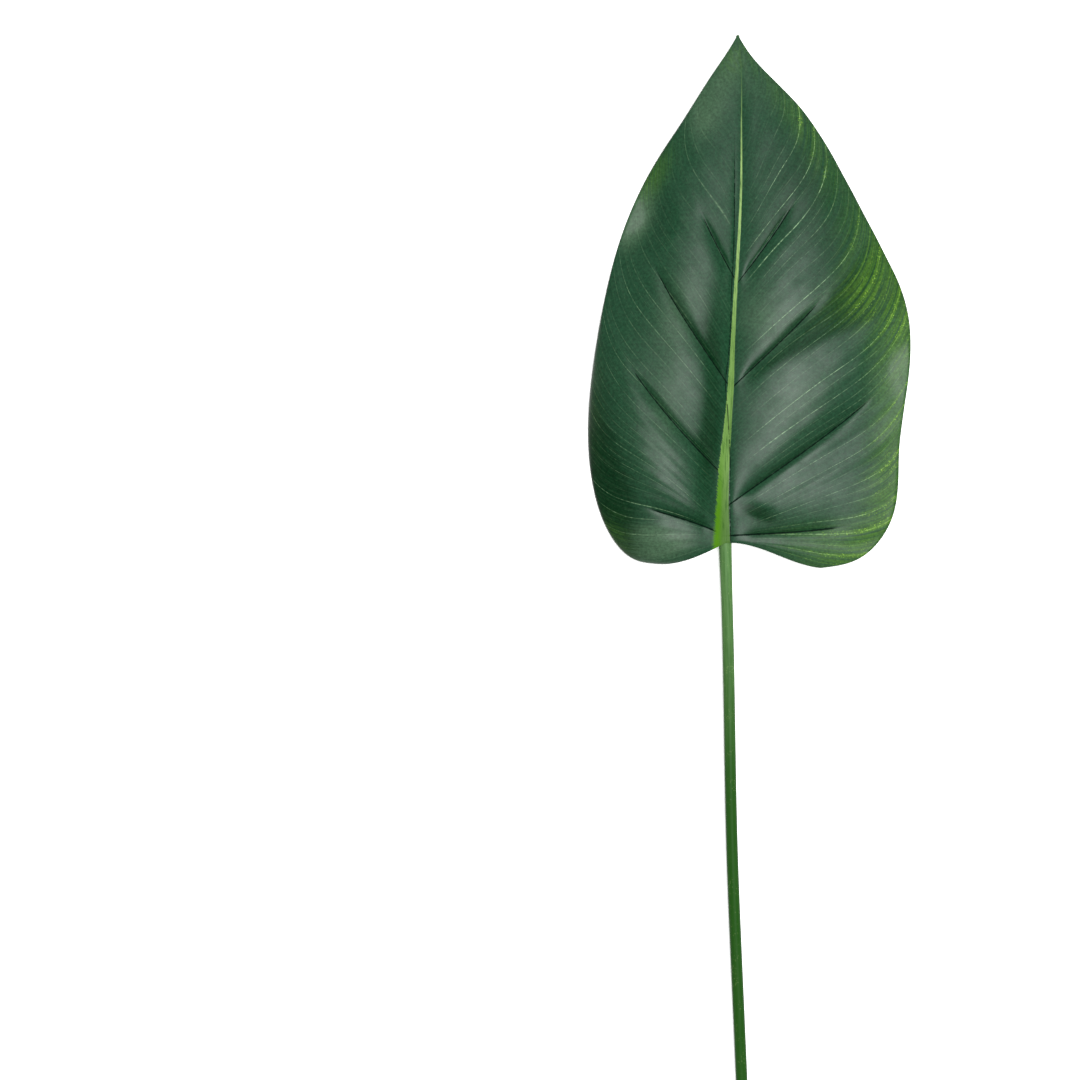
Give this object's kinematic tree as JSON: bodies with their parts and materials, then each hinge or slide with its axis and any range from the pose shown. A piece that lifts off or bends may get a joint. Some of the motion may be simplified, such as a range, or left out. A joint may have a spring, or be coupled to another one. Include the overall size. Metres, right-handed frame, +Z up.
{
  "type": "philodendron leaf",
  "caption": "Heart-shaped leaf blade with arched halves, pressed side veins and a long round stalk, lying flat.",
  "frame": {"origin": "on the surface that the leaf lies on, under the middle of its box", "axes": "+Y from the cut stalk towards the tip, +Z up out of the blade's upper side"},
  "size_m": [0.1809, 0.6051, 0.0193],
  "materials": {
    "blade": "satin",
    "stalk": "satin"
  },
  "bodies": {
    "root": {"blade": "blade", "stalk_and_midrib": "stalk"}
  },
  "joints": []
}
